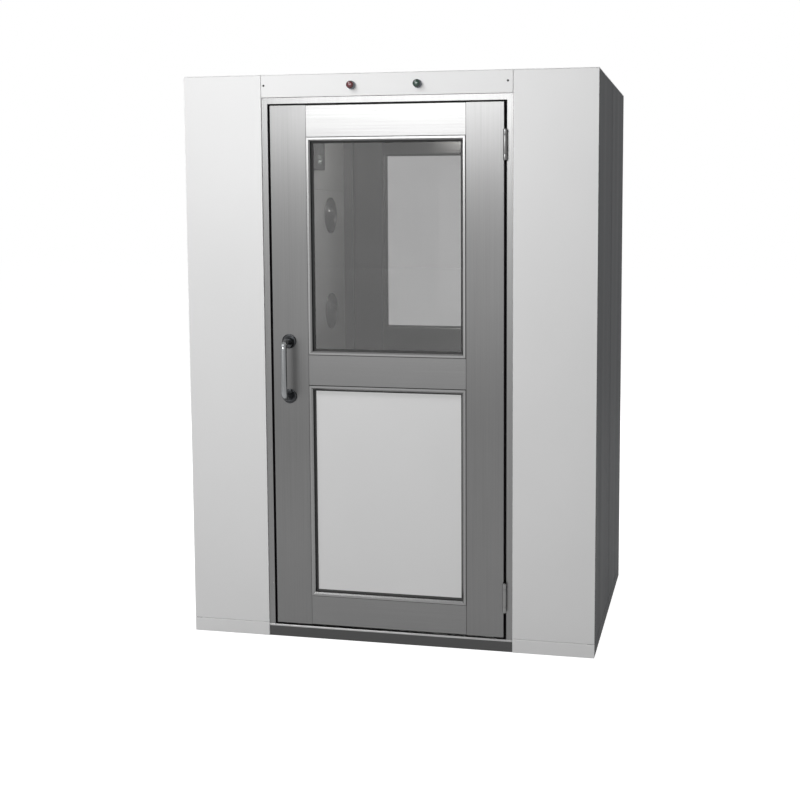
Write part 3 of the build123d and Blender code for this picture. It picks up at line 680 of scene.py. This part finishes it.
def make_handles():
    """An outer and an inner pull handle on each door."""
    foot = rose()
    grub = socket_screw("grub_screw", *GRUB_SCREW)
    feet = []
    for z in HANDLE_HEIGHTS:
        feet.append(copied(foot, "rose_copy", at(HANDLE_X, FRONT_FACE, z) @ OUT_OF_FRONT))
        under = at(HANDLE_X, FRONT_FACE - ROSE_THICKNESS / 2, z - ROSE_RADIUS + GRUB_SINK)
        feet.append(copied(grub, "grub_copy", under @ turned_about("X", 180)))
    removed(foot)
    removed(grub)
    about_leaf = at(HANDLE_X, LEAF_MIDDLE, 0) @ HALF_TURN @ at(-HANDLE_X, -LEAF_MIDDLE, 0)
    sources = (("handle", bent_bar(), None), ("roses", joined("feet", feet), ROSE_PAINTED_DARK))
    for part, source, finish in sources:
        for door, turn in (("front_door", Matrix()), ("rear_door", HALF_TURN)):
            for side, swap in (("outer", Matrix()), ("inner", about_leaf)):
                piece = copied(source, f"{door}_{side}_{part}", turn @ swap)
                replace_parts(fitted(piece, door, "handle_steel", finish), f"{door}_fittings")
        removed(source)


def knuckle(name, length):
    """A hinge barrel about Z from height 0, with rounded rims and the pin's end sunk in each cap."""
    inner = HINGE_RADIUS - KNUCKLE_EDGE
    rings = [(PIN_FACE_RADIUS, PIN_SINK), (PIN_RADIUS, 0)]
    rings += rounded((HINGE_RADIUS, 0), (inner, 0), (HINGE_RADIUS, KNUCKLE_EDGE))
    rings += rounded((HINGE_RADIUS, length), (HINGE_RADIUS, length - KNUCKLE_EDGE), (inner, length))
    rings += [(PIN_RADIUS, length), (PIN_FACE_RADIUS, length - PIN_SINK)]
    return turned(name, rings, 32)


def plate(name, x, low, high):
    """A hinge leaf beside the door's edge, with rounded rear corners."""
    clear_selection()
    front = HINGE_AXIS[1]
    size = (PLATE_THICKNESS, PLATE_BACK - front, high - low)
    centre = (x + PLATE_THICKNESS / 2, (PLATE_BACK + front) / 2, (low + high) / 2)
    bpy.ops.mesh.primitive_cube_add(size=1, location=[c * MM for c in centre], scale=[s * MM for s in size])
    bpy.ops.object.mode_set(mode="EDIT")
    mesh = bmesh.from_edit_mesh(bpy.context.object.data)
    bpy.ops.mesh.select_all(action="DESELECT")
    place = bpy.context.object.matrix_world
    for edge in mesh.edges:
        ends = [place @ vertex.co / MM for vertex in edge.verts]
        edge.select = all(abs(e.y - PLATE_BACK) < 0.01 for e in ends) and abs(ends[0].z - ends[1].z) < 0.01
    bmesh.update_edit_mesh(bpy.context.object.data)
    bpy.ops.mesh.bevel(offset=PLATE_CORNER * MM, segments=5, affect="EDGES")
    bpy.ops.mesh.select_all(action="SELECT")
    bpy.ops.mesh.bevel(offset=PLATE_EDGE * MM, segments=1, affect="EDGES")
    return finished(name)


def plate_screws(pattern, x, heights, turn):
    """Two rows of countersunk heads on a hinge leaf's face."""
    screws = []
    for y in PLATE_SCREW_Y:
        for z in heights:
            screws.append(copied(pattern, "plate_screw", at(x, y, z) @ turned_about("Y", turn)))
    return screws


def make_hinges():
    """Each hinge as two halves: outer knuckles on the frame and the middle one on the door."""
    x, y = HINGE_AXIS
    half = HINGE_LENGTH / 2
    inner = half - KNUCKLE_LENGTH
    door_half = inner - KNUCKLE_GAP
    screw = socket_screw("plate_screw_pattern", *PLATE_SCREW)
    for level, z in zip(("lower", "upper"), HINGE_HEIGHTS):
        frame_parts = [plate("frame_plate", JAMB_FACE - PLATE_THICKNESS, z - half, z + half)]
        for low in (z - half, z + inner):
            short = knuckle("frame_knuckle", KNUCKLE_LENGTH)
            frame_parts.append(copied(short, "frame_knuckle_copy", at(x, y, low)))
            removed(short)
        heights = (z - FRAME_SCREW_RISE, z + FRAME_SCREW_RISE)
        frame_parts += plate_screws(screw, JAMB_FACE - PLATE_THICKNESS, heights, -90)
        door_parts = [plate("door_plate", LEAF_EDGE, z - door_half, z + door_half)]
        long = knuckle("door_knuckle", 2 * door_half)
        door_parts.append(copied(long, "door_knuckle_copy", at(x, y, z - door_half)))
        removed(long)
        heights = (z - DOOR_SCREW_RISE, z + DOOR_SCREW_RISE)
        door_parts += plate_screws(screw, LEAF_EDGE + PLATE_THICKNESS, heights, 90)
        on_frame = joined(f"front_{level}_frame_hinge", frame_parts)
        on_door = joined(f"front_{level}_door_hinge", door_parts)
        rear_frame = copied(on_frame, f"rear_{level}_frame_hinge", HALF_TURN)
        rear_door = copied(on_door, f"rear_{level}_door_hinge", HALF_TURN)
        for piece in (on_frame, rear_frame):
            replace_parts(fitted(piece, "cabin", "hinge_steel"), "frame_hinges")
        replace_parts(fitted(on_door, "front_door", "hinge_steel"), "front_door_fittings")
        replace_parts(fitted(rear_door, "rear_door", "hinge_steel"), "rear_door_fittings")
    removed(screw)


def bezel():
    """A pilot lamp's chromed ring about Z, with a rounded nose."""
    face = BEZEL_FACE
    width, drop = BEZEL_NOSE
    rim = [(BEZEL_RADIUS - BEZEL_EDGE, 0), (BEZEL_RADIUS, BEZEL_EDGE)]
    rim += rounded((BEZEL_RADIUS, face), (BEZEL_RADIUS, face - drop), (BEZEL_RADIUS - width, face), 4)
    hole = LAMP_BODY_RADIUS + WALL_GAP
    return turned("bezel", rim + [(hole, face), (hole, 0), rim[0]], 48)


def lens():
    """A pilot lamp's lens about Z: a collar, a ribbed skirt and a smooth dome."""
    rings = [(LAMP_BODY_RADIUS, LENS_FOOT), (LAMP_BODY_RADIUS, LENS_BASE)]
    rings += [(LENS_RADIUS - LENS_EDGE, LENS_BASE), (LENS_RADIUS, LENS_BASE + LENS_EDGE)]
    for groove in LENS_GROOVES:
        rings += [(LENS_RADIUS, groove), (LENS_RADIUS - GROOVE_DEPTH, groove + GROOVE_DEPTH),
                  (LENS_RADIUS, groove + 2 * GROOVE_DEPTH)]
    dome = rounded((LENS_RADIUS, LENS_TOP), (LENS_RADIUS, LENS_SHOULDER), (0.05, LENS_TOP), 10)
    return turned("lens", rings + dome, 48)


def make_lamps():
    """A red and a green pilot lamp over each door."""
    ring, cap = bezel(), lens()
    for colour, x in LAMP_X:
        for end, turn in (("front", Matrix()), ("rear", HALF_TURN)):
            place = turn @ at(x, FRONT_FACE, LAMP_HEIGHT) @ OUT_OF_FRONT
            piece = fitted(copied(ring, f"{end}_{colour}_bezel", place), "cabin", "lamp_chrome")
            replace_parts(piece, "lamp_bezels")
            piece = fitted(copied(cap, f"{end}_{colour}_lens", place), "cabin", f"{colour}_lens")
            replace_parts(piece, f"{colour}_lamps")
    removed(ring)
    removed(cap)


def cushion_block(name, low, high, edge, segments=3):
    """A box between two corners with rounded edges."""
    clear_selection()
    centre = [(a + b) / 2 * MM for a, b in zip(low, high)]
    size = [(b - a) * MM for a, b in zip(low, high)]
    bpy.ops.mesh.primitive_cube_add(size=1, location=centre, scale=size)
    bpy.ops.object.mode_set(mode="EDIT")
    bpy.ops.mesh.select_all(action="SELECT")
    bpy.ops.mesh.bevel(offset=edge * MM, segments=segments, affect="EDGES")
    return finished(name)


def control_housing():
    """The control unit's two-part housing: a base and a proud lid, with a sunk window in the lid."""
    y, z = CONTROL_CENTRE
    half = CONTROL_SIZE / 2
    back = WALL_GAP - WALL_X
    joint = CONTROL_FACE - CONTROL_LID
    top = (joint - CONTROL_SEAM, y + half, z + half)
    base = cushion_block("control_base", (back, y - half, z - half), top, 1.5)
    top = (CONTROL_FACE, y + half, z + half)
    lid = cushion_block("control_lid", (joint, y - half, z - half), top, 3, 4)
    neck = half - CONTROL_NECK
    low, high = (joint - CORE_HALF, y - neck, z - neck), (joint + CORE_HALF, y + neck, z + neck)
    core = cushion_block("control_core", low, high, 0.5, 1)
    (y, z), (wide, tall) = DISPLAY_CENTRE, DISPLAY_SIZE
    low = (CONTROL_FACE - DISPLAY_RECESS, y - wide / 2, z - tall / 2)
    high = (CONTROL_FACE + CUTTER_REACH, y + wide / 2, z + tall / 2)
    window = cushion_block("window_cutter", low, high, 1.2)
    pick(lid)
    cut = lid.modifiers.new("window", "BOOLEAN")
    cut.object = window
    cut.operation = "DIFFERENCE"
    bpy.ops.object.modifier_apply(modifier=cut.name)
    bpy.ops.object.shade_smooth_by_angle(angle=math.radians(30))
    removed(window)
    return joined("control_housing", [base, lid, core])


def make_control_unit():
    """The control unit on the left wall, with two small readouts in its window."""
    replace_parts(fitted(control_housing(), "cabin", "dark_plastic"), "control_unit")
    y, z = DISPLAY_CENTRE
    wide, tall = READOUT_SIZE
    sunk, proud = (CONTROL_FACE - DISPLAY_RECESS + reach for reach in READOUT_SPAN)
    panes = []
    for centre in (z - READOUT_SPACING / 2, z + READOUT_SPACING / 2):
        low = (sunk, y - wide / 2, centre - tall / 2)
        high = (proud, y + wide / 2, centre + tall / 2)
        panes.append(cushion_block("readout", low, high, 0.6, 2))
    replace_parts(fitted(joined("control_readouts", panes), "cabin", "display_glass"), "control_display")


def make_ceiling_light():
    """The flush ceiling light: a white rim whose lip is stepped up to an opal sheet."""
    clear_selection()
    x, y = (half + LIGHT_RIM for half in LIGHT_HALF)
    face = CEILING - WALL_GAP
    low = face - LIGHT_PROUD
    bpy.ops.mesh.primitive_cube_add(size=1, location=(0, 0, (low + face) / 2 * MM),
                                    scale=(2 * x * MM, 2 * y * MM, LIGHT_PROUD * MM))
    bpy.ops.object.mode_set(mode="EDIT")
    select_places(lambda px, py, pz: pz < low + 0.01)
    bpy.ops.mesh.bevel(offset=LIGHT_EDGE * MM, segments=3, affect="EDGES")
    select_places(lambda px, py, pz: pz < low + 0.01)
    bpy.ops.mesh.inset(thickness=(LIGHT_RIM - LIGHT_LIP) * MM)
    bpy.ops.mesh.extrude_region_move(TRANSFORM_OT_translate={"value": (0, 0, LIGHT_LIP * MM)})
    rim = finished("ceiling_light_rim")
    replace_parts(fitted(rim, "cabin", "white_panel"), "ceiling_light")
    half_x, half_y = LIGHT_HALF
    foot, top = (low + rise for rise in SHEET_SPAN)
    corners = (-half_x, -half_y, foot), (half_x, half_y, top)
    sheet = cushion_block("ceiling_light_diffuser", *corners, 0.6, 2)
    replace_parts(fitted(sheet, "cabin", "diffuser"), "ceiling_light")


def make_screws():
    """Header screws over each door, and the screws of both return grilles."""
    screw = socket_screw("screw_pattern", *PANEL_SCREW)
    for end, turn in (("front", Matrix()), ("rear", HALF_TURN)):
        heads = []
        for x, z in HEADER_SCREWS:
            heads.append(copied(screw, "header_screw", turn @ at(x, FRONT_FACE, z) @ OUT_OF_FRONT))
        fitted(joined(f"{end}_header_screws", heads), "cabin", "hinge_steel", BLACK_STEEL)
    for side, turn in (("left", Matrix()), ("right", HALF_TURN)):
        heads = []
        for y in GRILLE_SCREW_Y:
            for z in GRILLE_SCREW_Z:
                place = turn @ at(GRILLE_FACE - WALL_X, y, z) @ OUT_OF_LEFT_WALL
                heads.append(copied(screw, "grille_screw", place))
        fitted(joined(f"{side}_grille_screws", heads), "cabin", "hinge_steel")
    removed(screw)


make_nozzles()
make_handles()
make_hinges()
make_lamps()
make_control_unit()
make_ceiling_light()
make_screws()


def seen_directly(tree):
    """1 for what the camera, a reflection or a pane sees, and 0 for light that falls on a surface."""
    path = add(tree, "LightPath").outputs
    mirrored = add(tree, "Math", {0: path["Is Glossy Ray"], 1: path["Is Transmission Ray"]},
                   operation="MAXIMUM")
    return add(tree, "Math", {0: path["Is Camera Ray"], 1: mirrored}, operation="MAXIMUM")


def make_world():
    """A white room: white where it is seen, and a lower even light on the object."""
    world = bpy.data.worlds.new("white_room")
    world.use_nodes = True
    tree = world.node_tree
    tree.nodes.clear()
    strength = add(tree, "MapRange", {"Value": seen_directly(tree), "To Min": AMBIENT, "To Max": 1.0})
    sky = add(tree, "Background", {"Color": (1, 1, 1, 1), "Strength": strength})
    add(tree, "OutputWorld", {"Surface": sky})
    bpy.context.scene.world = world


def make_floor():
    """A plain pale floor that keeps the object's shadow and is as white as the room where it is far off."""
    bpy.ops.mesh.primitive_plane_add(size=FLOOR_WIDTH, location=(0, 0, -0.5 * MM))
    floor = bpy.context.object
    floor.name = "floor"
    made = bpy.data.materials.new("pale_floor")
    made.use_nodes = True
    tree = made.node_tree
    tree.nodes.clear()
    seen = seen_directly(tree)
    paleness = add(tree, "MapRange", {"Value": seen, "To Min": FLOOR_BOUNCE, "To Max": FLOOR_SEEN})
    lit = add(tree, "BsdfDiffuse", {"Color": paleness})
    own = add(tree, "MapRange", {"Value": seen, "To Min": 0.0, "To Max": FLOOR_GLOW})
    glow = add(tree, "Emission", {"Color": (1, 1, 1, 1), "Strength": own})
    both = add(tree, "AddShader", {0: lit, 1: glow})
    add(tree, "OutputMaterial", {"Surface": both})
    floor.data.materials.append(made)


def soft_box(name, place, target, size, power):
    """A rectangular studio lamp that faces a point. Lengths are in metres."""
    lamp = bpy.data.lights.new(name, "AREA")
    lamp.shape = "RECTANGLE"
    lamp.size, lamp.size_y = size
    lamp.energy = power
    box = bpy.data.objects.new(name, lamp)
    bpy.context.collection.objects.link(box)
    box.location = place
    box.rotation_euler = (Vector(target) - Vector(place)).to_track_quat("-Z", "Y").to_euler()
    box.visible_camera = False
    box.visible_transmission = False


def make_camera():
    """The photograph's camera: its place, aim, lens and framing."""
    camera = bpy.data.cameras.new("camera")
    camera.sensor_width = SENSOR_WIDTH
    camera.lens = SENSOR_WIDTH * FOCAL_PIXELS / IMAGE_SIZE
    camera.shift_x = (IMAGE_SIZE / 2 - VIEW_CENTRE[0]) / IMAGE_SIZE
    camera.shift_y = (VIEW_CENTRE[1] - IMAGE_SIZE / 2) / IMAGE_SIZE
    stand = bpy.data.objects.new("camera", camera)
    bpy.context.collection.objects.link(stand)
    stand.location = CAMERA_PLACE
    stand.rotation_euler = (math.radians(90 - CAMERA_DIP), 0, math.radians(CAMERA_TURN))
    bpy.context.scene.camera = stand


clear_selection()
make_world()
make_floor()
for lamp_name, lamp_setting in STUDIO_LAMPS.items():
    soft_box(lamp_name, *lamp_setting)
make_camera()
bpy.context.scene.view_settings.view_transform = "Standard"
